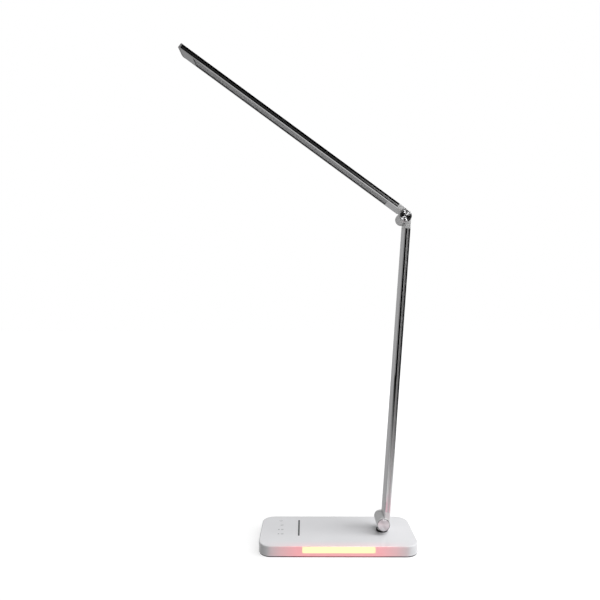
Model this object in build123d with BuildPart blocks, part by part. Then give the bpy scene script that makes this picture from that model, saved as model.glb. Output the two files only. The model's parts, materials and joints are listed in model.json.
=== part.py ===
"""Folding desk lamp: a slim base with a night light, an aluminium arm and a flat lamp head.

Millimetres, +Z up, origin on the desk under the middle of the base. The night light faces -Y.
Each limb has its own frame: local x points to its outer face, y across it, z along it.
"""

import os
from math import cos, radians, sin

from build123d import *

os.makedirs("parts", exist_ok=True)

# Base housing
base_length = 190.0
base_depth = 87.5
base_height = 12.9
base_corner_radius = 16.0
base_edge_radius = 1.2
pad_thickness = 1.4
pad_inset = 0.8
cover_thickness = 1.6
shell_wall = 1.8
shell_top_wall = 2.0
seat_clearance = 0.1
boss_radius = 3.0
boss_inset = 11.5
cover_screw_radius = 1.2
cover_screw_length = 5.0
screw_end_gap = 0.5
small_corner_radius = 1.0
recess_share = 0.65

# Night light in the front wall
window_width = 86.0
window_height = 7.4
window_below_top = 0.6
window_corner_radius = 1.4
night_board_setback = 3.3
night_board_length = 80.0
night_board_height = 5.8
night_led_count = 6

# Electronics in the base
board_thickness = 1.2
led_length = 3.5
led_width = 2.8
led_height = 0.8
touch_board_length = 36.0
touch_board_depth = 56.0
touch_board_y = 10.0
slider_length = 47.0
slider_width = 2.2
slider_inset = 47.8
slider_y = 7.7
main_board_length = 14.5
main_board_depth = 60.0
main_board_post = 1.4
main_board_post_radius = 1.6
inlet_width = 9.0
inlet_body_depth = 13.0
inlet_height = 6.4
inlet_nose_radius = 3.2
inlet_bore_radius = 2.75
inlet_bore_depth = 9.0
inlet_pin_radius = 1.05
inductor_size = 6.5
inductor_height = 2.8
controller_length = 5.0
controller_depth = 6.0
controller_height = 1.1
connector_length = 6.0
connector_depth = 8.0
connector_height = 3.0
board_part_spread = 36.0

# Steel ballast plate
ballast_thickness = 3.5
ballast_depth = 66.0
ballast_gap = 3.0

# Hinge barrels, the same at the base and at the lamp head
hinge_inset = 38.0
hinge_rise = 12.5
barrel_radius = 7.8
barrel_length = 30.0
ear_thickness = 6.0
barrel_edge = 0.4
washer_thickness = 0.3
knuckle_play = 0.1
slot_clearance = 0.6
shoulder_clearance = 1.5
shaft_radius = 2.5
shaft_bore_radius = 1.2
running_clearance = 0.05
hardware_radius = 5.2
hardware_depth = 4.0
cap_rim = 0.6
cap_depth = 1.0
cap_proud = 0.2
spring_washer_thickness = 0.5
nut_across_flats = 8.0
nut_height = 2.0

# Swivel under the lower hinge
swivel_stem_radius = 4.0
swivel_bore_radius = 2.0
swivel_neck_radius = 5.5
swivel_seat_radius = 4.6
collar_radius = 7.2
collar_gap = 0.3
collar_height = 1.9
bush_wall = 1.5
bush_flange_radius = 8.0
bush_flange_thickness = 1.0
swivel_washer_thickness = 0.6
swivel_spring_thickness = 0.5
swivel_nut_height = 2.2
swivel_nut_across_flats = 12.0

# Arm from the lower to the upper hinge
arm_reach = 382.4
arm_direction = 85.48
arm_thickness = 7.1
arm_width = 25.0
arm_inner_offset = 0.7
arm_wall = 1.2
arm_chamfer = 0.7
stem_length = 15.0
tongue_length = 14.0
groove_width = 2.4
groove_depth = 0.4
limb_screw_radius = 1.2
limb_screw_spread = 12.0
arm_screw_length = 4.5
head_screw_length = 4.0

# Lamp head
head_reach = 360.5
head_direction = 143.15
head_thickness = 6.1
head_width = 26.2
head_inner_offset = 2.5
head_wall = 1.2
head_chamfer = 0.6
head_cap_length = 4.0
head_cap_plug = 5.0
head_cap_corner = 3.5
light_start = 29.0
light_end = 337.0
light_margin = 2.6
diffuser_thickness = 1.0
diffuser_lap = 1.0
head_board_width = 18.0
head_led_count = 28

# Flat two-core lead inside the limbs, round lead inside the base
lead_width = 2.6
lead_thickness = 1.4
lead_room = 0.3
base_lead_radius = 0.8
base_lead_bend = 1.7

# Heights in the base, counted up from the desk
floor_z = pad_thickness + cover_thickness
ceiling_z = base_height - shell_top_wall
inner_length = base_length - 2 * shell_wall
inner_depth = base_depth - 2 * shell_wall
inner_corner_radius = base_corner_radius - shell_wall
boss_spacing_x = base_length - 2 * boss_inset
boss_spacing_y = base_depth - 2 * boss_inset
slider_x = slider_inset - base_length / 2
hinge_x = base_length / 2 - hinge_inset
hinge_height = base_height + hinge_rise

# Along the hinge axis, counted from the middle of the barrel
barrel_half = barrel_length / 2
slot_half = barrel_half - ear_thickness
knuckle_half = slot_half - washer_thickness - knuckle_play
slot_radius = barrel_radius + slot_clearance
shoulder_radius = barrel_radius + shoulder_clearance

# Across the limbs, counted out from the hinge axis
arm_outer = arm_inner_offset + arm_thickness
arm_middle = arm_inner_offset + arm_thickness / 2
head_outer = head_inner_offset + head_thickness
head_middle = head_inner_offset + head_thickness / 2
arm_profile_end = arm_reach - stem_length
head_shell_end = head_reach - head_cap_length
swivel_top_z = hinge_height - barrel_radius


def export(piece, name):
    """Label a finished piece and write its file."""
    piece.part.label = name
    export_step(piece.part, f"parts/{name}.step")


def limb_frame(x, z, direction):
    """The frame of a limb that leaves the axis at (x, z) at this angle above +X."""
    along = (cos(radians(direction)), 0, sin(radians(direction)))
    return Plane(origin=(x, 0, z), x_dir=(along[2], 0, -along[0]), z_dir=along)


def end_frame(limb, side, inset=0.0):
    """The end face of a hinge barrel, facing out: side -1 is the front one, 1 the rear one."""
    origin = limb.origin + Vector(0, side * (barrel_half - inset), 0)
    return Plane(origin=origin, x_dir=limb.x_dir, z_dir=(0, side, 0))


def hinge_frame(limb):
    """The plane through the middle of a hinge barrel, square to its axis."""
    return Plane(origin=limb.origin, x_dir=limb.x_dir, z_dir=(0, -1, 0))


def face_frame(limb, outward, along):
    """A plane on a limb's outer face, this far along it: local x across the limb, normal outwards."""
    origin = limb.origin + limb.x_dir * outward + limb.z_dir * along
    return Plane(origin=origin, x_dir=(0, 1, 0), z_dir=limb.x_dir)


arm_frame = limb_frame(hinge_x, hinge_height, arm_direction)
arm_top = arm_frame.origin + arm_frame.z_dir * arm_reach
arm_top_frame = Plane(origin=arm_top, x_dir=arm_frame.x_dir, z_dir=-arm_frame.z_dir)
head_frame = limb_frame(arm_top.X, arm_top.Z, head_direction)
upright_frame = limb_frame(hinge_x, hinge_height, 90)


# ---------------------------------------------------------------- base housing


def base_block():
    """The outer form of the base above its rubber pad."""
    with BuildPart() as block:
        with BuildSketch(Plane.XY.offset(pad_thickness)):
            RectangleRounded(base_length, base_depth, base_corner_radius)
        extrude(amount=base_height - pad_thickness)
        fillet(block.faces().sort_by(Axis.Z)[-1].edges(), base_edge_radius)
    return block.part


def window_prism(clearance):
    """The rounded bar of the night light, as deep as the front wall."""
    front = Plane(origin=(0, -base_depth / 2, base_height), x_dir=(1, 0, 0), z_dir=(0, -1, 0))
    with BuildPart() as prism:
        with BuildSketch(front):
            with Locations((0, -window_below_top - window_height / 2)):
                RectangleRounded(
                    window_width - 2 * clearance,
                    window_height - 2 * clearance,
                    window_corner_radius - clearance,
                )
        extrude(amount=-shell_wall)
    return prism.part


with BuildPart() as bottom_pad:
    with BuildSketch():
        RectangleRounded(
            base_length - 2 * pad_inset, base_depth - 2 * pad_inset, base_corner_radius - pad_inset
        )
    extrude(amount=pad_thickness)
export(bottom_pad, "bottom_pad")

inlet_z = floor_z + inlet_height / 2
board_left = hinge_x + bush_flange_radius
board_middle_x = board_left + main_board_length / 2
bush_radius = swivel_stem_radius + running_clearance + bush_wall

with BuildPart() as base_shell:
    add(base_block())
    with BuildSketch(Plane.XY.offset(pad_thickness)):
        RectangleRounded(inner_length, inner_depth, inner_corner_radius)
    extrude(amount=ceiling_z - pad_thickness, mode=Mode.SUBTRACT)
    with BuildSketch(Plane.XY.offset(floor_z)):
        with GridLocations(boss_spacing_x, boss_spacing_y, 2, 2):
            Circle(boss_radius)
    extrude(amount=ceiling_z - floor_z)
    with BuildSketch(Plane.XY.offset(floor_z)):
        with GridLocations(boss_spacing_x, boss_spacing_y, 2, 2):
            Circle(cover_screw_radius)
    extrude(amount=cover_screw_length, mode=Mode.SUBTRACT)
    add(window_prism(0), mode=Mode.SUBTRACT)
    with BuildSketch(Plane.XY.offset(ceiling_z)):
        with Locations((slider_x, slider_y)):
            SlotOverall(slider_length, slider_width, rotation=90)
        with Locations((hinge_x, 0)):
            Circle(bush_radius)
    extrude(amount=shell_top_wall, mode=Mode.SUBTRACT)
    with BuildSketch(Plane.XZ.offset(-base_depth / 2)):
        with Locations((hinge_x, inlet_z)):
            Circle(inlet_nose_radius + seat_clearance)
    extrude(amount=shell_wall, mode=Mode.SUBTRACT)
export(base_shell, "base_shell")

cover_underside = Plane(origin=(0, 0, pad_thickness), x_dir=(1, 0, 0), z_dir=(0, 0, -1))

with BuildPart() as bottom_cover:
    with BuildSketch(Plane.XY.offset(pad_thickness)):
        RectangleRounded(
            inner_length - 2 * seat_clearance,
            inner_depth - 2 * seat_clearance,
            inner_corner_radius - seat_clearance,
        )
    extrude(amount=cover_thickness)
    with BuildSketch(Plane.XY.offset(floor_z)):
        with Locations((board_middle_x, 0)):
            with GridLocations(
                main_board_length - 2 * main_board_post_radius,
                main_board_depth - 2 * main_board_post_radius,
                2,
                2,
            ):
                Circle(main_board_post_radius)
    extrude(amount=main_board_post)
    with Locations(cover_underside):
        with GridLocations(boss_spacing_x, boss_spacing_y, 2, 2):
            CounterSinkHole(cover_screw_radius + seat_clearance, 2 * cover_screw_radius)
export(bottom_cover, "bottom_cover")


def countersunk_screws(face, points, shank_radius, length):
    """Countersunk screws with crossed recesses, heads flush with a face."""
    head_radius = 2 * shank_radius - seat_clearance
    with BuildPart(face) as screws:
        with Locations(*points):
            Cylinder(shank_radius, length, align=(Align.CENTER, Align.CENTER, Align.MAX))
            Cone(
                shank_radius,
                head_radius,
                head_radius - shank_radius,
                align=(Align.CENTER, Align.CENTER, Align.MAX),
            )
            for turn in (0, 90):
                Box(
                    recess_share * 2 * head_radius,
                    shank_radius / 3,
                    shank_radius / 2,
                    rotation=(0, 0, turn),
                    align=(Align.CENTER, Align.CENTER, Align.MAX),
                    mode=Mode.SUBTRACT,
                )
    return screws


corner_points = [
    (sx * boss_spacing_x / 2, sy * boss_spacing_y / 2) for sx in (-1, 1) for sy in (-1, 1)
]
cover_screws = countersunk_screws(
    cover_underside,
    corner_points,
    cover_screw_radius,
    cover_thickness + cover_screw_length - screw_end_gap,
)
export(cover_screws, "cover_screws")

# The ballast lies on the cover, clear of the corner bosses, the night light and the swivel.
night_board_y = -inner_depth / 2 + night_board_setback
ballast_left = -boss_spacing_x / 2 + boss_radius + ballast_gap
ballast_right = hinge_x - bush_flange_radius - ballast_gap
ballast_rear = inner_depth / 2 - ballast_gap

with BuildPart() as ballast_plate:
    with BuildSketch(Plane.XY.offset(floor_z)):
        with Locations(((ballast_left + ballast_right) / 2, ballast_rear - ballast_depth / 2)):
            RectangleRounded(
                ballast_right - ballast_left, ballast_depth, 2 * small_corner_radius
            )
    extrude(amount=ballast_thickness)
export(ballast_plate, "ballast_plate")

# ---------------------------------------------------------------- night light

with BuildPart() as night_light_window:
    add(base_block())
    add(window_prism(seat_clearance), mode=Mode.INTERSECT)
export(night_light_window, "night_light_window")

with BuildPart() as night_light_board:
    with BuildSketch(Plane.XY.offset(floor_z)):
        with Locations((0, night_board_y)):
            Rectangle(night_board_length, board_thickness, align=(Align.CENTER, Align.MIN))
    extrude(amount=night_board_height)
export(night_light_board, "night_light_board")

night_led_pitch = night_board_length / night_led_count
with BuildPart() as night_light_leds:
    with BuildSketch(Plane.XZ.offset(-night_board_y)):
        with Locations((0, floor_z + night_board_height / 2)):
            with GridLocations(night_led_pitch, 1, night_led_count, 1):
                Rectangle(led_length, led_width)
    extrude(amount=led_height)
export(night_light_leds, "night_light_leds")

# ---------------------------------------------------------------- touch controls and driver

with BuildPart() as touch_board:
    with BuildSketch(Plane.XY.offset(ceiling_z - board_thickness)):
        with Locations((ballast_left + touch_board_length / 2, touch_board_y)):
            RectangleRounded(touch_board_length, touch_board_depth, small_corner_radius)
    extrude(amount=board_thickness)
export(touch_board, "touch_board")

with BuildPart() as slider_light_strip:
    with BuildSketch(Plane.XY.offset(ceiling_z)):
        with Locations((slider_x, slider_y)):
            SlotOverall(
                slider_length - 2 * seat_clearance, slider_width - 2 * seat_clearance, rotation=90
            )
    extrude(amount=shell_top_wall)
export(slider_light_strip, "slider_light_strip")

board_z = floor_z + main_board_post
with BuildPart() as main_board:
    with BuildSketch(Plane.XY.offset(board_z)):
        with Locations((board_middle_x, 0)):
            RectangleRounded(main_board_length, main_board_depth, small_corner_radius)
    extrude(amount=board_thickness)
export(main_board, "main_board")

board_top = Plane.XY.offset(board_z + board_thickness)
with BuildPart() as main_board_parts:
    with BuildSketch(board_top):
        with Locations((board_middle_x, -board_part_spread / 2)):
            RectangleRounded(inductor_size, inductor_size, small_corner_radius)
    extrude(amount=inductor_height)
    with BuildSketch(board_top):
        with Locations((board_middle_x, 0)):
            Rectangle(controller_length, controller_depth)
    extrude(amount=controller_height)
    with BuildSketch(board_top):
        with Locations((board_middle_x, board_part_spread / 2)):
            Rectangle(connector_length, connector_depth)
    extrude(amount=connector_height)
export(main_board_parts, "main_board_parts")

rear_wall = Plane(origin=(hinge_x, inner_depth / 2, inlet_z), x_dir=(-1, 0, 0), z_dir=(0, 1, 0))
with BuildPart() as power_inlet:
    with BuildSketch(rear_wall):
        Rectangle(inlet_width, inlet_height)
    extrude(amount=-inlet_body_depth)
    with BuildSketch(rear_wall):
        Circle(inlet_nose_radius)
    extrude(amount=shell_wall)
    with BuildSketch(rear_wall.offset(shell_wall)):
        Circle(inlet_bore_radius)
        Circle(inlet_pin_radius, mode=Mode.SUBTRACT)
    extrude(amount=-inlet_bore_depth, mode=Mode.SUBTRACT)
export(power_inlet, "power_inlet")

# ---------------------------------------------------------------- swivel

with BuildPart() as swivel_bush:
    with BuildSketch(Plane.XY.offset(ceiling_z)):
        with Locations((hinge_x, 0)):
            Circle(bush_radius - seat_clearance / 2)
    extrude(amount=shell_top_wall)
    with BuildSketch(Plane.XY.offset(ceiling_z - bush_flange_thickness)):
        with Locations((hinge_x, 0)):
            Circle(bush_flange_radius)
    extrude(amount=bush_flange_thickness)
    with BuildSketch(Plane.XY.offset(ceiling_z - bush_flange_thickness)):
        with Locations((hinge_x, 0)):
            Circle(swivel_stem_radius + running_clearance)
    extrude(amount=bush_flange_thickness + shell_top_wall, mode=Mode.SUBTRACT)
export(swivel_bush, "swivel_bush")

collar_z = base_height + collar_gap
neck_z = collar_z + collar_height
washer_z = ceiling_z - bush_flange_thickness - knuckle_play - swivel_washer_thickness
spring_z = washer_z - swivel_spring_thickness
nut_z = spring_z - swivel_nut_height


def ring(z, outer_radius, inner_radius, height):
    """A flat ring around the swivel axis."""
    with BuildPart() as part:
        with BuildSketch(Plane.XY.offset(z)):
            with Locations((hinge_x, 0)):
                Circle(outer_radius)
                Circle(inner_radius, mode=Mode.SUBTRACT)
        extrude(amount=height)
    return part


with BuildPart() as hinge_pedestal:
    with BuildSketch(hinge_frame(upright_frame)):
        Circle(barrel_radius)
    extrude(amount=knuckle_half, both=True)
    chamfer(hinge_pedestal.edges().filter_by(GeomType.CIRCLE), barrel_edge)
    with BuildSketch(Plane.XY.offset(neck_z)):
        with Locations((hinge_x, 0)):
            Circle(swivel_neck_radius)
    extrude(amount=hinge_height - neck_z)
    with BuildSketch(Plane.XY.offset(collar_z)):
        with Locations((hinge_x, 0)):
            Circle(swivel_seat_radius)
    extrude(amount=collar_height)
    with BuildSketch(Plane.XY.offset(nut_z)):
        with Locations((hinge_x, 0)):
            Circle(swivel_stem_radius)
    extrude(amount=collar_z - nut_z)
    with BuildSketch(Plane.XY.offset(nut_z)):
        with Locations((hinge_x, 0)):
            Circle(swivel_bore_radius)
    extrude(amount=hinge_height - nut_z, mode=Mode.SUBTRACT)
    with BuildSketch(hinge_frame(upright_frame)):
        Circle(shaft_radius + running_clearance)
    extrude(amount=knuckle_half, both=True, mode=Mode.SUBTRACT)
export(hinge_pedestal, "hinge_pedestal")

swivel_collar = ring(collar_z, collar_radius, swivel_seat_radius + seat_clearance, collar_height)
export(swivel_collar, "swivel_collar")
stem_fit = swivel_stem_radius + seat_clearance
swivel_washer = ring(washer_z, bush_flange_radius, stem_fit, swivel_washer_thickness)
export(swivel_washer, "swivel_washer")
swivel_spring_washer = ring(
    spring_z, bush_flange_radius - bush_wall, stem_fit, swivel_spring_thickness
)
export(swivel_spring_washer, "swivel_spring_washer")

with BuildPart() as swivel_nut:
    with BuildSketch(Plane.XY.offset(nut_z)):
        with Locations((hinge_x, 0)):
            RegularPolygon(swivel_nut_across_flats / 2, 6, major_radius=False)
            Circle(stem_fit, mode=Mode.SUBTRACT)
    extrude(amount=swivel_nut_height)
export(swivel_nut, "swivel_nut")

lead_z = floor_z + seat_clearance + base_lead_radius
lead_top = hinge_height - shaft_radius - base_lead_radius
with BuildPart() as base_lead:
    with BuildLine() as lead_path:
        FilletPolyline(
            (board_left - seat_clearance, 0, lead_z),
            (hinge_x, 0, lead_z),
            (hinge_x, 0, lead_top),
            radius=base_lead_bend,
        )
    with BuildSketch(Plane(origin=lead_path.line @ 0, z_dir=lead_path.line % 0)):
        Circle(base_lead_radius)
    sweep(path=lead_path.line)
export(base_lead, "base_lead")

# ---------------------------------------------------------------- arm

arm_room_x = arm_thickness - 2 * arm_wall
arm_room_y = arm_width - 2 * arm_wall
arm_lead_x = arm_inner_offset + arm_wall
arm_lead_y = arm_room_y / 2 - lead_room - lead_width / 2
limb_screw_points = [(-limb_screw_spread / 2, 0), (limb_screw_spread / 2, 0)]
screw_along = stem_length + tongue_length / 2


def fork_fitting(limb, lead_side):
    """A two-eared hinge fitting whose tongue slides into an end of the arm."""
    with BuildPart() as fitting:
        with BuildSketch(limb):
            with Locations((arm_middle, 0)):
                Rectangle(arm_thickness, arm_width)
            chamfer(vertices(), arm_chamfer)
        extrude(amount=stem_length)
        with BuildSketch(limb.offset(stem_length)):
            with Locations((arm_middle, 0)):
                Rectangle(arm_room_x - 2 * seat_clearance, arm_room_y - 2 * seat_clearance)
        extrude(amount=tongue_length)
        for side in (-1, 1):
            with BuildSketch(end_frame(limb, side)):
                Circle(barrel_radius)
            extrude(amount=-ear_thickness)
            rim = fitting.faces().sort_by(Axis.Y)[0 if side < 0 else -1].edges()
            chamfer(rim, barrel_edge)
        with BuildSketch(hinge_frame(limb)):
            Circle(slot_radius)
        extrude(amount=slot_half, both=True, mode=Mode.SUBTRACT)
        for side in (-1, 1):
            with BuildSketch(end_frame(limb, side)):
                Circle(barrel_radius - cap_rim)
            extrude(amount=-cap_depth, mode=Mode.SUBTRACT)
            with BuildSketch(end_frame(limb, side)):
                Circle(hardware_radius)
            extrude(amount=-hardware_depth, mode=Mode.SUBTRACT)
        with BuildSketch(hinge_frame(limb)):
            Circle(shaft_radius + running_clearance)
        extrude(amount=barrel_half, both=True, mode=Mode.SUBTRACT)
        with BuildSketch(limb.offset(hardware_radius - lead_thickness)):
            with Locations((arm_lead_x, lead_side * arm_lead_y)):
                Rectangle(
                    lead_thickness + lead_room,
                    lead_width + 2 * lead_room,
                    align=(Align.MIN, Align.CENTER),
                )
        extrude(amount=stem_length + tongue_length, mode=Mode.SUBTRACT)
        with Locations(face_frame(limb, arm_outer - arm_wall, screw_along)):
            with Locations(*limb_screw_points):
                Hole(limb_screw_radius)
    return fitting


arm_foot_fitting = fork_fitting(arm_frame, 1)
export(arm_foot_fitting, "arm_foot_fitting")
arm_top_fitting = fork_fitting(arm_top_frame, -1)
export(arm_top_fitting, "arm_top_fitting")

with BuildPart() as arm_profile:
    with BuildSketch(arm_frame.offset(stem_length)):
        with Locations((arm_middle, 0)):
            Rectangle(arm_thickness, arm_width)
        chamfer(vertices(), arm_chamfer)
        with Locations((arm_middle, 0)):
            Rectangle(arm_room_x, arm_room_y, mode=Mode.SUBTRACT)
        for side in (-1, 1):
            with Locations((arm_middle, side * arm_width / 2)):
                Rectangle(groove_width, 2 * groove_depth, mode=Mode.SUBTRACT)
    extrude(amount=arm_profile_end - stem_length)
    for along in (screw_along, arm_reach - screw_along):
        with Locations(face_frame(arm_frame, arm_outer, along)):
            with Locations(*limb_screw_points):
                CounterSinkHole(
                    limb_screw_radius + seat_clearance, 2 * limb_screw_radius, 2 * arm_wall
                )
export(arm_profile, "arm_profile")

with BuildPart() as arm_screws:
    for along in (screw_along, arm_reach - screw_along):
        screw_face = face_frame(arm_frame, arm_outer, along)
        pair = countersunk_screws(
            screw_face, limb_screw_points, limb_screw_radius, arm_screw_length
        )
        add(pair.part)
export(arm_screws, "arm_screws")

with BuildPart() as arm_lead:
    with BuildSketch(arm_frame.offset(stem_length / 2)):
        with Locations((arm_lead_x, arm_lead_y)):
            Rectangle(lead_thickness, lead_width, align=(Align.MIN, Align.CENTER))
        fillet(vertices(), 0.4 * lead_thickness)
    extrude(amount=arm_reach - stem_length)
export(arm_lead, "arm_lead")


# ---------------------------------------------------------------- hinge fittings


def hinge_hardware(limb, place):
    """The hollow shaft, washers, nut and end caps of one hinge."""
    seat = hardware_depth
    with BuildPart() as shaft:
        with BuildSketch(end_frame(limb, -1, seat)):
            Circle(hardware_radius - 2 * seat_clearance)
        extrude(amount=nut_height)
        with BuildSketch(end_frame(limb, -1, seat)):
            Circle(shaft_radius)
        extrude(amount=-(barrel_length - 2 * seat + spring_washer_thickness + nut_height))
        with BuildSketch(hinge_frame(limb)):
            Circle(shaft_bore_radius)
        extrude(amount=barrel_half, both=True, mode=Mode.SUBTRACT)
        with BuildSketch(limb.offset(-shaft_radius)):
            Circle(shaft_bore_radius)
        extrude(amount=2 * shaft_radius, mode=Mode.SUBTRACT)
    export(shaft, f"{place}_hinge_shaft")

    with BuildPart() as washers:
        for side in (-1, 1):
            with BuildSketch(end_frame(limb, side, ear_thickness)):
                Circle(barrel_radius - 2 * barrel_edge)
                Circle(shaft_radius + seat_clearance, mode=Mode.SUBTRACT)
            extrude(amount=-washer_thickness)
    export(washers, f"{place}_hinge_washers")

    with BuildPart() as spring_washer:
        with BuildSketch(end_frame(limb, 1, seat)):
            Circle(nut_across_flats / 2)
            Circle(shaft_radius + seat_clearance, mode=Mode.SUBTRACT)
        extrude(amount=spring_washer_thickness)
    export(spring_washer, f"{place}_hinge_spring_washer")

    with BuildPart() as nut:
        with BuildSketch(end_frame(limb, 1, seat - spring_washer_thickness)):
            RegularPolygon(nut_across_flats / 2, 6, major_radius=False)
            Circle(shaft_radius + running_clearance, mode=Mode.SUBTRACT)
        extrude(amount=nut_height)
    export(nut, f"{place}_hinge_nut")

    for side, end in ((-1, "front"), (1, "rear")):
        with BuildPart() as cap:
            with BuildSketch(end_frame(limb, side, cap_depth)):
                Circle(barrel_radius - cap_rim - seat_clearance)
            extrude(amount=cap_depth + cap_proud)
            crown = cap.faces().sort_by(Axis.Y)[0 if side < 0 else -1]
            chamfer(crown.edges(), cap_proud)
        export(cap, f"{place}_hinge_cap_{end}")


hinge_hardware(arm_frame, "lower")
hinge_hardware(arm_top_frame, "upper")

# ---------------------------------------------------------------- lamp head

head_room_x = head_thickness - 2 * head_wall
head_room_y = head_width - 2 * head_wall
head_lead_x = head_inner_offset + head_wall
head_roof_x = head_outer - head_wall
head_screw_along = stem_length + (light_start - stem_length) / 2
head_tongue_length = light_start - stem_length - diffuser_lap - seat_clearance
light_length = light_end - light_start
light_middle = (light_start + light_end) / 2
light_width = head_width - 2 * light_margin

with BuildPart() as head_fitting:
    with BuildSketch(hinge_frame(head_frame)):
        Circle(barrel_radius)
    extrude(amount=knuckle_half, both=True)
    chamfer(head_fitting.edges().filter_by(GeomType.CIRCLE), barrel_edge)
    with BuildSketch(head_frame):
        with Locations((head_inner_offset, 0)):
            Rectangle(
                barrel_radius - head_inner_offset,
                2 * knuckle_half,
                align=(Align.MIN, Align.CENTER),
            )
    extrude(amount=stem_length)
    with BuildPart(mode=Mode.PRIVATE) as shoulders:
        with BuildSketch(head_frame):
            with Locations((head_middle, 0)):
                Rectangle(head_thickness, head_width)
            chamfer(vertices(), head_chamfer)
        extrude(amount=stem_length)
        with BuildSketch(hinge_frame(head_frame)):
            Circle(shoulder_radius)
        extrude(amount=head_width, both=True, mode=Mode.SUBTRACT)
    add(shoulders.part)
    with BuildSketch(head_frame.offset(stem_length)):
        with Locations((head_middle, 0)):
            Rectangle(head_room_x - 2 * seat_clearance, head_room_y - 2 * seat_clearance)
    extrude(amount=head_tongue_length)
    with BuildSketch(hinge_frame(head_frame)):
        Circle(shaft_radius + running_clearance)
    extrude(amount=knuckle_half, both=True, mode=Mode.SUBTRACT)
    with BuildSketch(head_frame):
        Rectangle(
            head_lead_x + lead_thickness + lead_room,
            lead_width + 2 * lead_room,
            align=(Align.MIN, Align.CENTER),
        )
    extrude(amount=shaft_radius, mode=Mode.SUBTRACT)
    with BuildSketch(head_frame):
        with Locations((head_lead_x, 0)):
            Rectangle(
                lead_thickness + lead_room,
                lead_width + 2 * lead_room,
                align=(Align.MIN, Align.CENTER),
            )
    extrude(amount=stem_length + head_tongue_length, mode=Mode.SUBTRACT)
    with Locations(face_frame(head_frame, head_outer - head_wall, head_screw_along)):
        with Locations(*limb_screw_points):
            Hole(limb_screw_radius, head_room_x)
export(head_fitting, "head_fitting")

with BuildPart() as head_shell:
    with BuildSketch(head_frame.offset(stem_length)):
        with Locations((head_middle, 0)):
            Rectangle(head_thickness, head_width)
        chamfer(vertices(), head_chamfer)
        with Locations((head_middle, 0)):
            Rectangle(head_room_x, head_room_y, mode=Mode.SUBTRACT)
        for side in (-1, 1):
            with Locations((head_middle, side * head_width / 2)):
                Rectangle(groove_width, 2 * groove_depth, mode=Mode.SUBTRACT)
    extrude(amount=head_shell_end - stem_length)
    underside = face_frame(head_frame, head_inner_offset, light_middle)
    with BuildSketch(underside):
        RectangleRounded(light_width, light_length, small_corner_radius)
    extrude(amount=head_wall, mode=Mode.SUBTRACT)
    with Locations(face_frame(head_frame, head_outer, head_screw_along)):
        with Locations(*limb_screw_points):
            CounterSinkHole(
                limb_screw_radius + seat_clearance, 2 * limb_screw_radius, head_room_x
            )
export(head_shell, "head_shell")

head_screws = countersunk_screws(
    face_frame(head_frame, head_outer, head_screw_along),
    limb_screw_points,
    limb_screw_radius,
    head_screw_length,
)
export(head_screws, "head_screws")

with BuildPart() as head_diffuser:
    with BuildSketch(face_frame(head_frame, head_inner_offset + head_wall, light_middle)):
        RectangleRounded(
            light_width + 2 * diffuser_lap,
            light_length + 2 * diffuser_lap,
            small_corner_radius + diffuser_lap,
        )
    extrude(amount=diffuser_thickness)
export(head_diffuser, "head_diffuser")

board_underside = face_frame(head_frame, head_roof_x - diffuser_thickness, light_middle)
with BuildPart() as head_led_board:
    with BuildSketch(board_underside):
        RectangleRounded(head_board_width, light_length, small_corner_radius)
    extrude(amount=diffuser_thickness)
export(head_led_board, "head_led_board")

head_led_pitch = light_length / head_led_count
with BuildPart() as head_leds:
    with BuildSketch(board_underside):
        with GridLocations(1, head_led_pitch, 1, head_led_count):
            Rectangle(led_width, led_length)
    extrude(amount=-led_height)
export(head_leds, "head_leds")

with BuildPart() as head_end_cap:
    with BuildSketch(head_frame.offset(head_shell_end)):
        with Locations((head_middle, 0)):
            Rectangle(head_thickness, head_width)
    extrude(amount=head_cap_length)
    tip_edges = head_end_cap.faces().sort_by(Axis(head_frame.origin, head_frame.z_dir))[-1].edges()
    corners = tip_edges.filter_by(Axis((0, 0, 0), head_frame.x_dir))
    fillet(corners, min(head_cap_corner, 0.9 * head_cap_length))
    with BuildSketch(head_frame.offset(head_shell_end)):
        with Locations((head_middle, 0)):
            Rectangle(head_room_x - 2 * seat_clearance, head_room_y - 2 * seat_clearance)
    extrude(amount=-head_cap_plug)
export(head_end_cap, "head_end_cap")

with BuildPart() as head_lead:
    with BuildSketch(head_frame.offset(shaft_radius)):
        with Locations((head_lead_x, 0)):
            Rectangle(lead_thickness, lead_width, align=(Align.MIN, Align.CENTER))
        fillet(vertices(), 0.4 * lead_thickness)
    extrude(amount=light_start - shaft_radius - diffuser_lap - seat_clearance)
export(head_lead, "head_lead")
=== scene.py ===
"""The finish of a folding desk lamp with a night light base, and the studio it stands in.

Metres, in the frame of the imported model: +Z up, the night light faces -Y.
"""

import json
from math import atan2, cos, pi, radians, sin

import bmesh
import bpy
from mathutils import Matrix, Vector


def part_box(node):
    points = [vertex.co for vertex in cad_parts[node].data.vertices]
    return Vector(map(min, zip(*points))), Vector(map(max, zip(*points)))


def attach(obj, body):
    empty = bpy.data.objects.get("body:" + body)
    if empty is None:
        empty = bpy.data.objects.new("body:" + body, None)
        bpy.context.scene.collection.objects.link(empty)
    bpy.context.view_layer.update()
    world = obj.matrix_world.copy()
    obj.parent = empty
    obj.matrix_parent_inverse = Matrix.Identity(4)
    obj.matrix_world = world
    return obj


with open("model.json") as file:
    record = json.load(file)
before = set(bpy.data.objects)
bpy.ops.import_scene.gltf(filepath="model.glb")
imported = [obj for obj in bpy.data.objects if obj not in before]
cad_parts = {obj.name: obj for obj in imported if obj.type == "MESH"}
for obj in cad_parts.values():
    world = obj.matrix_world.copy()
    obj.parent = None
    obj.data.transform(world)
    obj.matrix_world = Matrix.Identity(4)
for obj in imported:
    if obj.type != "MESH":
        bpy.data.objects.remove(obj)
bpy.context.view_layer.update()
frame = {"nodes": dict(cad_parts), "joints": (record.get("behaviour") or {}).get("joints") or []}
nodes = frame["nodes"]
MM = 0.001

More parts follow.
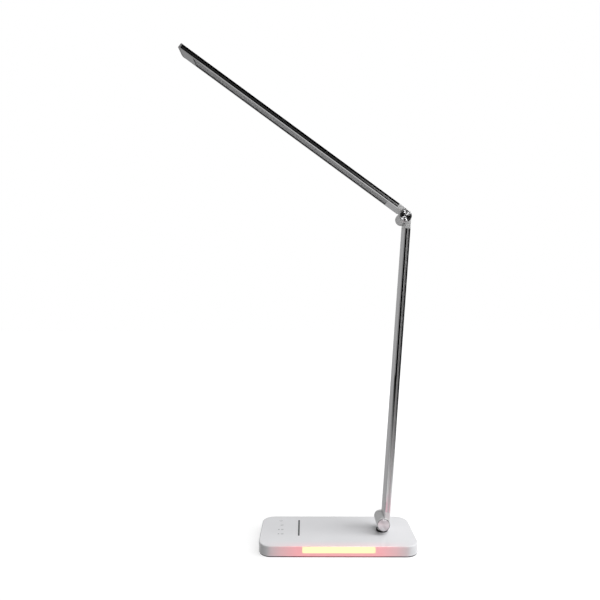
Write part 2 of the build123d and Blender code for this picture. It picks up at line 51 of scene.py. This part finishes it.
# ------------------------------------------------------------------ places read from the frame

joints = {joint["name"]: joint for joint in frame["joints"]}
lower_axis = Vector(joints["arm_tilt"]["pos_m"])
upper_axis = Vector(joints["head_tilt"]["pos_m"])
arm_along = (upper_axis - lower_axis).normalized()
shell_low, shell_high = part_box("base_shell")
window_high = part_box("night_light_window")[1]
arm_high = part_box("arm_profile")[1]
head_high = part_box("head_shell")[1]
end_cap_low, end_cap_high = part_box("head_end_cap")
head_tip = (end_cap_low + end_cap_high) / 2

# ------------------------------------------------------------------ sizes and tones


class Limb:
    """A limb's hinge axis, its lean from upright, and the middle and half sizes of its profile."""

    def __init__(self, axis, lean, middle, half_width, half_thickness):
        self.axis = axis
        self.lean = lean
        self.middle = middle
        self.half_width = half_width
        self.half_thickness = half_thickness


arm_lean = atan2(arm_along.x, arm_along.z)
head_lean = radians(90.0 - 143.15)
arm = Limb(lower_axis, arm_lean, 4.25 * MM, arm_high.y, 3.55 * MM)
head = Limb(upper_axis, head_lean, 5.55 * MM, head_high.y, 3.05 * MM)

# On a limb's narrow sides: where their finish starts in from the edge, how far the groove reaches
# from its middle, where the painted dark reflection on a corner starts, and how the groove's tone,
# a painted reflection, fades from the hinge
side_start = (0.9 * MM, 0.6 * MM)
groove_edge = (1.0 * MM, 1.2 * MM)
dark_reflection_start = (0.5 * MM, 0.3 * MM)
groove_sheen_fade = (15 * MM, 110 * MM)

# Where painted shade darkens the inner face towards a limb's tip, counted from the hinge
tip_shade_start = (318 * MM, 338 * MM)

# The walls of the lamp head's recess: how far they are from the middle, their line, their depth
recess_half = 10.5 * MM
recess_line = (0.15 * MM, 0.25 * MM)
recess_depth = (0.12 * MM, 0.05 * MM)

# Hinge barrels and the seats of their end caps
barrel_half = 15.0 * MM
barrel_rim = (0.5 * MM, 0.3 * MM)
cap_seat = (7.4 * MM, 7.6 * MM)

# How the night light shines through: strongly in the front wall, weakly on the top behind it
front_glow, front_glow_span = 0.9, (-0.7 * MM, 1.2 * MM)
top_glow, top_glow_span = 0.2, (0.0, 16 * MM)
window_end = 4 * MM  # the length of each deeper end of the window

# Noise runs from about 0.3 to 0.7, and roughness follows it between these
noise_span = (0.3, 0.7)

# ------------------------------------------------------------------ a small kit for finishes


def grey(tone):
    """A grey colour."""
    return (tone, tone, tone)


def even(scale):
    """The same scale along X, Y and Z."""
    return (scale, scale, scale)


class Finish:
    """A material that is built up node by node around one Principled shader."""

    def __init__(self, name, **sockets):
        self.material = bpy.data.materials.new(name)
        self.material.use_nodes = True
        self.tree = self.material.node_tree
        self.shader = self.tree.nodes["Principled BSDF"]
        self.set(**sockets)

    def set(self, **sockets):
        """Set or link the shader's sockets by their names, with underscores for spaces."""
        for name, value in sockets.items():
            self.feed(self.shader.inputs[name.replace("_", " ")], value)

    def feed(self, socket, value):
        """Link an output to a socket, or write a plain value on it."""
        if isinstance(value, bpy.types.NodeSocket):
            self.tree.links.new(value, socket)
        elif isinstance(value, tuple) and socket.type == "RGBA" and len(value) == 3:
            socket.default_value = (*value, 1.0)
        else:
            socket.default_value = value

    def node(self, kind, *values, **settings):
        """Add a node, set its properties and feed its first sockets."""
        node = self.tree.nodes.new(kind)
        for name, value in settings.items():
            setattr(node, name, value)
        for socket, value in zip(node.inputs, values):
            self.feed(socket, value)
        return node

    def math(self, operation, *values):
        """The result of one Math node."""
        return self.node("ShaderNodeMath", *values, operation=operation).outputs[0]

    def times(self, first, *others):
        """The product of several values."""
        for other in others:
            first = self.math("MULTIPLY", first, other)
        return first

    def off(self, value, middle=None):
        """How far a value lies from a middle one, or from 0."""
        if middle is not None:
            value = self.math("SUBTRACT", value, middle)
        return self.math("ABSOLUTE", value)

    def place(self, turn=0.0, scale=(1, 1, 1), centre=(0, 0, 0)):
        """Object coordinates, moved to a centre, turned about Y and scaled."""
        where = self.node("ShaderNodeTexCoord").outputs["Object"]
        moved = self.node("ShaderNodeVectorMath", where, tuple(centre), operation="SUBTRACT")
        turned = self.node("ShaderNodeMapping", moved.outputs[0])
        turned.inputs["Rotation"].default_value = (0, -turn, 0)
        scaled = self.node("ShaderNodeVectorMath", turned.outputs[0], scale, operation="MULTIPLY")
        return scaled.outputs[0]

    def split(self, vector):
        """The X, Y and Z of a vector."""
        return self.node("ShaderNodeSeparateXYZ", vector).outputs

    def radius(self, offset):
        """The distance from an axis along Y."""
        x, _, z = self.split(offset)
        squares = self.math("ADD", self.times(x, x), self.times(z, z))
        return self.math("SQRT", squares)

    def noise(self, vector, scale=1.0, detail=2.0):
        """Smooth noise from 0 to 1."""
        node = self.node("ShaderNodeTexNoise", vector)
        node.inputs["Scale"].default_value = scale
        node.inputs["Detail"].default_value = detail
        return node.outputs["Fac"]

    def ramp(self, value, low, high, start=0.0, end=1.0, smooth=True):
        """A value carried from low..high to start..end, and held there."""
        node = self.node("ShaderNodeMapRange", value, low, high, start, end)
        node.interpolation_type = "SMOOTHSTEP" if smooth else "LINEAR"
        return node.outputs[0]

    def mix(self, share, first, second):
        """Two colours mixed by a share."""
        node = self.node("ShaderNodeMix", data_type="RGBA")
        self.feed(node.inputs[0], share)
        self.feed(node.inputs[6], first)
        self.feed(node.inputs[7], second)
        return node.outputs[2]

    def bump(self, height, strength, distance):
        """Raise the surface by a height pattern."""
        node = self.node("ShaderNodeBump")
        node.inputs["Strength"].default_value = strength
        node.inputs["Distance"].default_value = distance
        self.feed(node.inputs["Height"], height)
        self.set(Normal=node.outputs[0])
        return self


def paint(finish, *names):
    """Give a finish to CAD nodes."""
    for name in names:
        slots = nodes[name].material_slots
        if not slots:
            nodes[name].data.materials.append(finish.material)
        for slot in slots:
            slot.material = finish.material


# ------------------------------------------------------------------ lit and moulded finishes


def glow_share(finish, start, reach):
    """How strongly the night light shines through, from 0 to 1.

    Beside the window it fades from start to reach, both counted from the window's end.
    """
    x, y, _ = finish.split(finish.place())
    beside = finish.math("SUBTRACT", finish.off(x), window_high.x)
    along = finish.ramp(beside, start, reach, 1.0, 0.0, smooth=False)
    inward = finish.math("SUBTRACT", y, shell_low.y)
    front = finish.ramp(inward, *front_glow_span, front_glow, 0.0)
    top = finish.ramp(inward, *top_glow_span, top_glow, 0.0)
    return finish.times(along, finish.math("ADD", front, top))


def white_shell():
    """Glossy white moulding, lit pink from within beside the night light."""
    finish = Finish("white_gloss_shell", Roughness=0.2, IOR=1.49, Coat_Weight=0.2)
    finish.set(Coat_Roughness=0.05)
    share = glow_share(finish, start=6 * MM, reach=44 * MM)
    speck = finish.noise(finish.place(scale=even(60)), detail=3.0)
    white = finish.mix(speck, (0.80, 0.80, 0.82), (0.84, 0.84, 0.86))
    finish.set(Base_Color=finish.mix(share, white, (0.80, 0.70, 0.72)))
    finish.set(Emission_Color=(1.0, 0.02, 0.05))
    finish.set(Emission_Strength=finish.times(share, 0.54))
    ripple = finish.noise(finish.place(scale=even(420)), detail=1.0)
    return finish.bump(ripple, 0.04, 0.1 * MM)


def night_window():
    """Frosted window, lit pale yellow, a little deeper towards its ends."""
    finish = Finish("lit_window", Base_Color=(0.02, 0.02, 0.01), Roughness=0.4)
    x = finish.split(finish.place())[0]
    end = finish.ramp(finish.off(x), window_high.x - window_end, window_high.x, 0.0, 0.4)
    finish.set(Emission_Color=finish.mix(end, (1.0, 1.0, 0.56), (1.0, 0.80, 0.50)))
    finish.set(Emission_Strength=1.0)
    grain = finish.noise(finish.place(scale=even(2500)))
    return finish.bump(grain, 0.1, 0.05 * MM)


def pad_rubber():
    """Dark foam rubber under the base, with a painted red glow below the night light."""
    finish = Finish("pad_rubber", Roughness=0.85)
    # Painted glow: the night light's red light on the pad
    share = glow_share(finish, start=-8 * MM, reach=20 * MM)
    pores = finish.noise(finish.place(scale=even(1800)), detail=4.0)
    dark = finish.mix(pores, (0.012, 0.012, 0.013), (0.04, 0.04, 0.043))
    finish.set(Base_Color=dark, Emission_Color=(1.0, 0.22, 0.27))
    finish.set(Emission_Strength=finish.times(share, 0.5))
    return finish.bump(pores, 0.5, 0.15 * MM)


def moulded(name, colour, roughness):
    """Plain moulded plastic with a fine spark-eroded grain."""
    finish = Finish(name, Roughness=roughness)
    fine = finish.noise(finish.place(scale=even(900)), detail=3.0)
    darker = tuple(0.82 * channel for channel in colour)
    finish.set(Base_Color=finish.mix(fine, darker, colour))
    return finish.bump(fine, 0.2, 0.04 * MM)


# ------------------------------------------------------------------ metal finishes


def recess_wall(finish, side, off_middle, half_thickness):
    """Where the walls of the lamp head's recess are, which lie in shadow."""
    off_wall = finish.off(finish.off(side), recess_half)
    near = finish.ramp(off_wall, *recess_line, 1.0, 0.0)
    start, end = (half_thickness - depth for depth in recess_depth)
    return finish.times(near, finish.ramp(off_middle, start, end, 1.0, 0.0))


def limb_metal(name, limb, groove_off, groove_tones, anodised, dark_reflection_corner, tip_shade_share):
    """Aluminium extrusion: brushed satin broad faces, polished narrow sides with a satin groove.

    The groove's middle lies groove_off outside the profile's, and its grey goes from the first of
    the tones at the hinge to the second, a painted reflection where they differ. The narrow sides'
    outer corner carries a painted dark reflection where dark_reflection_corner is 1, and their
    inner one where it is -1. Painted shade darkens the inner face at the tip by tip_shade_share,
    and darkens the recess walls.
    """
    finish = Finish(name)
    outward, side, along = finish.split(finish.place(turn=limb.lean, centre=limb.axis))
    off_middle = finish.off(outward, limb.middle)
    narrow = finish.ramp(finish.off(side), *(limb.half_width - inset for inset in side_start))
    off_groove = finish.off(outward, limb.middle + groove_off)
    groove = finish.ramp(off_groove, *groove_edge, 1.0, 0.0)
    polish = finish.times(narrow, finish.math("SUBTRACT", 1.0, groove))
    band = finish.times(narrow, groove)

    brushed = finish.noise(finish.place(turn=limb.lean, scale=(1100, 1100, 8)), detail=3.0)
    satin = finish.mix(brushed, (0.59, 0.59, 0.60), (0.68, 0.68, 0.69))
    colour = finish.mix(polish, satin, (0.78, 0.78, 0.79))
    # Painted shade: the inner face grows darker towards the tip
    inner = finish.ramp(outward, limb.middle - limb.half_thickness, limb.middle, 1.0, 0.0)
    tip = finish.times(inner, finish.ramp(along, *tip_shade_start, 0.0, tip_shade_share))
    colour = finish.mix(tip, colour, grey(0.2))
    # Painted dark reflection: one corner of the narrow sides, where they mirror the dark studio
    towards = finish.times(finish.math("SUBTRACT", outward, limb.middle), dark_reflection_corner)
    corner = finish.ramp(towards, *(limb.half_thickness - inset for inset in dark_reflection_start))
    colour = finish.mix(finish.times(narrow, corner), colour, grey(0.12))
    # Painted shade on the walls of the lamp head's recess
    wall = recess_wall(finish, side, off_middle, limb.half_thickness)
    colour = finish.mix(wall, colour, grey(0.03))
    # Painted reflection: where the two tones differ, the groove is lighter near the hinge
    hinge_tone, far_tone = groove_tones
    tone = finish.mix(finish.ramp(along, *groove_sheen_fade), grey(hinge_tone), grey(far_tone))
    finish.set(Base_Color=finish.mix(band, colour, tone))
    finish.set(Metallic=finish.ramp(band, 0.0, 1.0, 1.0, 1.0 - anodised))

    unpolished = finish.math("SUBTRACT", 1.0, polish)
    rough = finish.ramp(brushed, *noise_span, 0.31, 0.34)
    finish.set(Roughness=finish.times(rough, finish.ramp(unpolished, 0.0, 1.0, 0.14, 1.0)))
    return finish.bump(finish.times(brushed, unpolished), 0.02, 0.01 * MM)


def fitting_metal(name, axis, tone):
    """Blasted hinge part with a polished rim and a painted shadow line, nearly black, around its
    end caps.
    """
    finish = Finish(name, Metallic=0.4)
    grain = finish.noise(finish.place(scale=even(5000)), detail=2.0)
    satin = finish.mix(grain, grey(tone - 0.04), grey(tone + 0.04))
    offset = finish.place(centre=axis)
    across = finish.split(offset)[1]
    rim = finish.ramp(finish.off(across), *(barrel_half - inset for inset in barrel_rim))
    # Painted shade: the gap around the end caps
    line = finish.times(rim, finish.ramp(finish.radius(offset), *cap_seat, 1.0, 0.0))
    finish.set(Base_Color=finish.mix(line, satin, grey(0.01)))
    rough = finish.ramp(grain, *noise_span, 0.32, 0.38)
    finish.set(Roughness=finish.times(rough, finish.ramp(rim, 0.0, 1.0, 1.0, 0.4)))
    return finish.bump(grain, 0.08, 0.01 * MM)


def spun_cap(name, axis):
    """End cap, spun in fine circles, so that it shows streaks from its middle."""
    finish = Finish(name, Metallic=1.0, Roughness=0.3, Anisotropic=1.0)
    offset = finish.place(centre=axis)
    outward = finish.node("ShaderNodeCombineXYZ", finish.radius(offset)).outputs[0]
    circles = finish.noise(outward, scale=9000.0, detail=2.0)
    finish.set(Base_Color=finish.mix(circles, (0.70, 0.70, 0.71), (0.93, 0.93, 0.94)))
    flat = finish.node("ShaderNodeVectorMath", offset, (1, 0, 1), operation="MULTIPLY")
    turned = finish.node(
        "ShaderNodeVectorTransform",
        flat.outputs[0],
        vector_type="VECTOR",
        convert_from="OBJECT",
        convert_to="WORLD",
    )
    finish.set(Tangent=turned.outputs[0])
    return finish


def plain_steel():
    """Bright rolled or turned steel."""
    finish = Finish("plain_steel", Metallic=1.0)
    grain = finish.noise(finish.place(scale=(300, 1400, 300)), detail=3.0)
    finish.set(Base_Color=finish.mix(grain, (0.42, 0.42, 0.43), (0.58, 0.58, 0.59)))
    finish.set(Roughness=finish.ramp(grain, *noise_span, 0.25, 0.42))
    return finish.bump(grain, 0.1, 0.03 * MM)


# ------------------------------------------------------------------ the finish of each node

paint(white_shell(), "base_shell")
paint(night_window(), "night_light_window")
paint(pad_rubber(), "bottom_pad")
paint(moulded("dark_cover", (0.12, 0.12, 0.125), 0.5), "bottom_cover")
paint(moulded("smoked_strip", (0.10, 0.105, 0.11), 0.18), "slider_light_strip")
paint(moulded("swivel_black", (0.02, 0.02, 0.02), 0.45), "swivel_collar")
paint(moulded("socket_black", (0.02, 0.02, 0.021), 0.4), "power_inlet")
paint(moulded("bush_nylon", (0.75, 0.74, 0.70), 0.45), "swivel_bush")
paint(moulded("board_white", (0.76, 0.78, 0.75), 0.35), "night_light_board", "touch_board")
paint(moulded("board_green", (0.03, 0.16, 0.08), 0.3), "main_board")
paint(moulded("chip_black", (0.02, 0.02, 0.022), 0.35), "main_board_parts")
paint(moulded("led_phosphor", (0.9, 0.72, 0.2), 0.3), "night_light_leds", "head_leds")
paint(moulded("lead_grey", (0.5, 0.5, 0.5), 0.5), "base_lead", "arm_lead", "head_lead")
paint(moulded("frosted_diffuser", (0.66, 0.66, 0.67), 0.4), "head_diffuser")
paint(moulded("metal_board", (0.8, 0.8, 0.8), 0.4), "head_led_board")

steel = plain_steel()
paint(steel, "ballast_plate", "cover_screws", "arm_screws", "head_screws")
paint(steel, "swivel_washer", "swivel_spring_washer", "swivel_nut")
washer_nylon = moulded("washer_nylon", (0.04, 0.04, 0.04), 0.5)
for hinge, axis in (("lower", lower_axis), ("upper", upper_axis)):
    paint(steel, f"{hinge}_hinge_shaft", f"{hinge}_hinge_spring_washer", f"{hinge}_hinge_nut")
    paint(washer_nylon, f"{hinge}_hinge_washers")
    spun = spun_cap(f"{hinge}_spun_cap", axis)
    paint(spun, f"{hinge}_hinge_cap_front", f"{hinge}_hinge_cap_rear")

# Lit and shaded copies of one finish: the lower fittings are painted a little lighter than the
# upper ones, and the end cap darker, as painted light and shade
paint(fitting_metal("lower_fitting_metal", lower_axis, 0.82), "hinge_pedestal", "arm_foot_fitting")
paint(fitting_metal("upper_fitting_metal", upper_axis, 0.8), "arm_top_fitting", "head_fitting")
paint(fitting_metal("end_cap_metal", head_tip, 0.38), "head_end_cap")
# The arm's narrow sides carry a painted dark reflection on their inner corner
arm_metal = limb_metal(
    "arm_metal",
    arm,
    groove_off=0.5 * MM,
    groove_tones=(0.72, 0.72),
    anodised=0.33,
    dark_reflection_corner=-1.0,
    tip_shade_share=0.0,
)
paint(arm_metal, "arm_profile")
# The head's groove goes from 0.7 grey at the hinge to 0.08 as a painted reflection
head_metal = limb_metal(
    "head_metal",
    head,
    groove_off=0.0,
    groove_tones=(0.7, 0.08),
    anodised=0.1,
    dark_reflection_corner=1.0,
    tip_shade_share=0.5,
)
paint(head_metal, "head_shell")

# ------------------------------------------------------------------ printed touch marks

# Where the marks are on the base, in millimetres, and how they are printed
power_mark, lamp_mark = (-70.8, 28.6), (-69.0, 15.3)
colour_dot, colour_ring = (-72.5, 1.8), (-68.1, 1.85)
level_dot, level_ring = (-72.3, -10.5), (-67.8, -10.45)
line_width, ray_width = 0.5, 0.4
dot_radius, ring_radius = 1.1, 1.4
print_low, print_high = shell_high.z + 0.005 * MM, shell_high.z + 0.03 * MM
bow_steps, dot_corners = 32, 24


def plate(shape, outline, hole=()):
    """A thin printed plate on top of the base, from an outline in millimetres.

    With a hole, both are open lines with as many points, and the plate is the strip between them.
    """
    levels = (print_low, print_high)
    outer = [[shape.verts.new((x * MM, y * MM, z)) for x, y in outline] for z in levels]
    inner = [[shape.verts.new((x * MM, y * MM, z)) for x, y in hole] for z in levels]
    count = len(outline)
    for index in range(count - 1 if hole else count):
        after = (index + 1) % count
        shape.faces.new((outer[0][index], outer[0][after], outer[1][after], outer[1][index]))
        if hole:
            shape.faces.new((inner[0][after], inner[0][index], inner[1][index], inner[1][after]))
            shape.faces.new((outer[1][index], outer[1][after], inner[1][after], inner[1][index]))
            shape.faces.new((outer[0][after], outer[0][index], inner[0][index], inner[0][after]))
    if hole:
        for index, turn in ((0, 1), (count - 1, -1)):
            end = (outer[0][index], outer[1][index], inner[1][index], inner[0][index])
            shape.faces.new(end[::turn])
    else:
        shape.faces.new(outer[1])
        shape.faces.new(outer[0][::-1])


def arc(centre, radius, start, end, steps):
    """Points on a circle, from one angle to another, in degrees."""
    angles = [radians(start + (end - start) * step / steps) for step in range(steps + 1)]
    return [(centre[0] + radius * cos(a), centre[1] + radius * sin(a)) for a in angles]


def bow(shape, centre, radius, start=0.0, end=359.0):
    """A printed line along a circle, by default all but closed."""
    outer = arc(centre, radius + line_width / 2, start, end, bow_steps)
    plate(shape, outer, arc(centre, radius - line_width / 2, start, end, bow_steps))


def dot(shape, centre, radius):
    """A printed disc."""
    plate(shape, arc(centre, radius, 0, 360 - 360 / dot_corners, dot_corners - 1))


def dash(shape, centre, angle, start, end, width):
    """A printed line that points away from a centre."""
    along = Vector((cos(radians(angle)), sin(radians(angle))))
    across = Vector((-along.y, along.x)) * width / 2
    near, far = Vector(centre) + along * start, Vector(centre) + along * end
    plate(shape, [tuple(p) for p in (near - across, far - across, far + across, near + across)])


def touch_marks():
    """Four rows of generic signs: power, lamp, colour and level."""
    shape = bmesh.new()
    bow(shape, power_mark, 1.7, 125, 415)
    dash(shape, power_mark, 90, 0.5, 2.3, line_width)
    bow(shape, lamp_mark, 1.1)
    for angle in range(0, 360, 45):
        dash(shape, lamp_mark, angle, 1.7, 2.4, ray_width)
    dot(shape, colour_dot, dot_radius)
    bow(shape, colour_ring, ring_radius)
    dot(shape, colour_ring, 0.6)
    dot(shape, level_dot, dot_radius)
    bow(shape, level_ring, ring_radius)
    dash(shape, level_ring, 90, -0.8, 0.8, line_width)
    mesh = bpy.data.meshes.new("touch_marks")
    shape.to_mesh(mesh)
    shape.free()
    marks = bpy.data.objects.new("touch_marks", mesh)
    bpy.context.scene.collection.objects.link(marks)
    mesh.materials.append(moulded("mark_grey", (0.30, 0.31, 0.32), 0.4).material)
    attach(marks, "base")


touch_marks()

# ------------------------------------------------------------------ floor and flags

floor_half = 8.0
gloss_strength, front_fade = 1.25, 0.30  # of the floor in gloss, and how far it fades in front
limbs_middle = Vector((0.06, 0.0, 0.3))  # the flags face it


def card(name, corners, material):
    """A flat card of the studio."""
    mesh = bpy.data.meshes.new(name)
    mesh.from_pydata(corners, [], [list(range(len(corners)))])
    mesh.materials.append(material)
    piece = bpy.data.objects.new(name, mesh)
    bpy.context.scene.collection.objects.link(piece)
    return piece


def floor_paint():
    """Pale floor that the camera sees turn white with distance.

    Glossy things see it as a painted glow that fades to the front, the back and the right, and in
    front of the base they see a painted pink pool of light from the night light.
    """
    finish = Finish("pale_floor", Base_Color=grey(0.35), Roughness=0.9)
    finish.set(Specular_IOR_Level=0.0)
    ray = finish.node("ShaderNodeLightPath").outputs
    where = finish.place()
    x, y, _ = finish.split(where)

    away = finish.node("ShaderNodeVectorMath", where, operation="LENGTH").outputs["Value"]
    haze = finish.ramp(away, 0.2, 0.9, 0.74, 1.0)
    glow = finish.node("ShaderNodeEmission", grey(1.0), finish.times(ray["Is Camera Ray"], haze))
    dull = finish.node("ShaderNodeAddShader", finish.shader.outputs[0], glow.outputs[0])

    ahead = finish.math("DIVIDE", finish.math("MINIMUM", y, 0.0), front_fade)
    to_front = finish.math("EXPONENT", ahead)
    to_back = finish.ramp(y, -0.02, 0.1, 1.0, 0.39)
    to_right = finish.ramp(x, 0.15, 0.5, 1.0, 0.15)
    level = finish.times(to_front, gloss_strength, to_back, to_right)

    # Painted light: the night light's pink pool, seen only in gloss
    pool_front = finish.ramp(y, -0.21, -0.13)
    pool_back = finish.ramp(y, -0.115, -0.06, 1.0, 0.0)
    pool_ends = finish.ramp(finish.off(x), 0.02, 0.2, 1.0, 0.0)
    pool = finish.times(pool_front, pool_back, pool_ends)
    colour = finish.mix(pool, grey(1.0), (1.0, 0.56, 0.66))
    gloss = finish.node("ShaderNodeEmission", colour, level)

    shaders = (dull.outputs[0], gloss.outputs[0])
    choice = finish.node("ShaderNodeMixShader", ray["Is Glossy Ray"], *shaders)
    finish.feed(finish.tree.nodes["Material Output"].inputs["Surface"], choice.outputs[0])
    return finish.material


def flag(name, centre, width, height, material):
    """A card that only polished things see."""
    place = Vector(centre)
    facing = (limbs_middle - place).normalized()
    right = facing.cross(Vector((0, 0, 1))).normalized() * width / 2
    up = right.cross(facing).normalized() * height / 2
    corners = [place - right - up, place + right - up, place + right + up, place - right + up]
    piece = card(name, corners, material)
    for ray in ("camera", "diffuse", "shadow", "transmission", "volume_scatter"):
        setattr(piece, f"visible_{ray}", False)


floor_corners = [
    (-floor_half, -floor_half, 0),
    (floor_half, -floor_half, 0),
    (floor_half, floor_half, 0),
    (-floor_half, floor_half, 0),
]
card("floor", floor_corners, floor_paint())
black_cloth = Finish("black_cloth", Base_Color=grey(0), Specular_IOR_Level=0.0).material
flag("front_flag", (0.0, -2.6, 1.5), 8.0, 3.0, black_cloth)
flag("right_flag", (2.8, 0.0, 1.5), 5.5, 3.0, black_cloth)
flag("top_flag", (1.0, -0.3, 3.2), 4.0, 4.0, black_cloth)

# ------------------------------------------------------------------ room and lamps

world = bpy.data.worlds.new("studio")
bpy.context.scene.world = world
world.use_nodes = True
sky = world.node_tree
sky_ray = sky.nodes.new("ShaderNodeLightPath")
dull_level, gloss_level, camera_level = 0.16, 0.5, 1.0  # what each kind of ray sees of the room


def room_light(level):
    """A plain white background of this strength."""
    light = sky.nodes.new("ShaderNodeBackground")
    light.inputs["Color"].default_value = (1, 1, 1, 1)
    light.inputs["Strength"].default_value = level
    return light


def choose(share, first, second):
    """One of two backgrounds by a kind of ray."""
    node = sky.nodes.new("ShaderNodeMixShader")
    sky.links.new(share, node.inputs[0])
    sky.links.new(first.outputs[0], node.inputs[1])
    sky.links.new(second.outputs[0], node.inputs[2])
    return node


room = choose(sky_ray.outputs["Is Glossy Ray"], room_light(dull_level), room_light(gloss_level))
seen = choose(sky_ray.outputs["Is Camera Ray"], room, room_light(camera_level))
sky.links.new(seen.outputs[0], sky.nodes["World Output"].inputs["Surface"])

lamp_target = Vector((0.0, 0.0, 0.1))


def softbox(name, place, size, power, gleam=False):
    """An area lamp that faces the base and lights all but gloss, or with gleam only gloss."""
    light = bpy.data.lights.new(name, "AREA")
    light.shape = "RECTANGLE"
    light.size, light.size_y = size
    light.energy = power
    lamp = bpy.data.objects.new(name, light)
    lamp.location = place
    lamp.rotation_euler = (lamp_target - Vector(place)).to_track_quat("-Z", "Y").to_euler()
    lamp.visible_glossy = gleam
    lamp.visible_diffuse = not gleam
    bpy.context.scene.collection.objects.link(lamp)


softbox("key", (1.5, -0.35, 1.15), (1.0, 1.0), 17)
softbox("overhead", (0.6, 0.0, 1.7), (1.5, 1.5), 21.5)
softbox("overhead_strip", (0.27, -1.2, 1.85), (0.26, 0.8), 10, gleam=True)
softbox("key_cloth", (1.0, -1.15, 1.25), (0.4, 0.6), 7, gleam=True)
softbox("front_fill", (1.35, -2.0, 0.7), (1.2, 0.8), 14)

# ------------------------------------------------------------------ camera, fitted to the photo

focal_px, frame_px = 500.0, 600.0
camera_place = Vector((-39.35, -636.48, 283.39)) * MM
camera_pitch, camera_yaw, camera_roll = 0.0296, -0.0090, -0.0024

camera_data = bpy.data.cameras.new("camera")
camera_data.sensor_width = 36.0
camera_data.lens = focal_px / frame_px * camera_data.sensor_width
camera_data.clip_start, camera_data.clip_end = 0.01, 50
camera = bpy.data.objects.new("camera", camera_data)
camera.matrix_world = (
    Matrix.Translation(camera_place)
    @ Matrix.Rotation(-camera_yaw, 4, "Z")
    @ Matrix.Rotation(pi / 2 + camera_pitch, 4, "X")
    @ Matrix.Rotation(camera_roll, 4, "Z")
)
bpy.context.scene.collection.objects.link(camera)
bpy.context.scene.camera = camera

bpy.context.scene.view_settings.view_transform = "Standard"
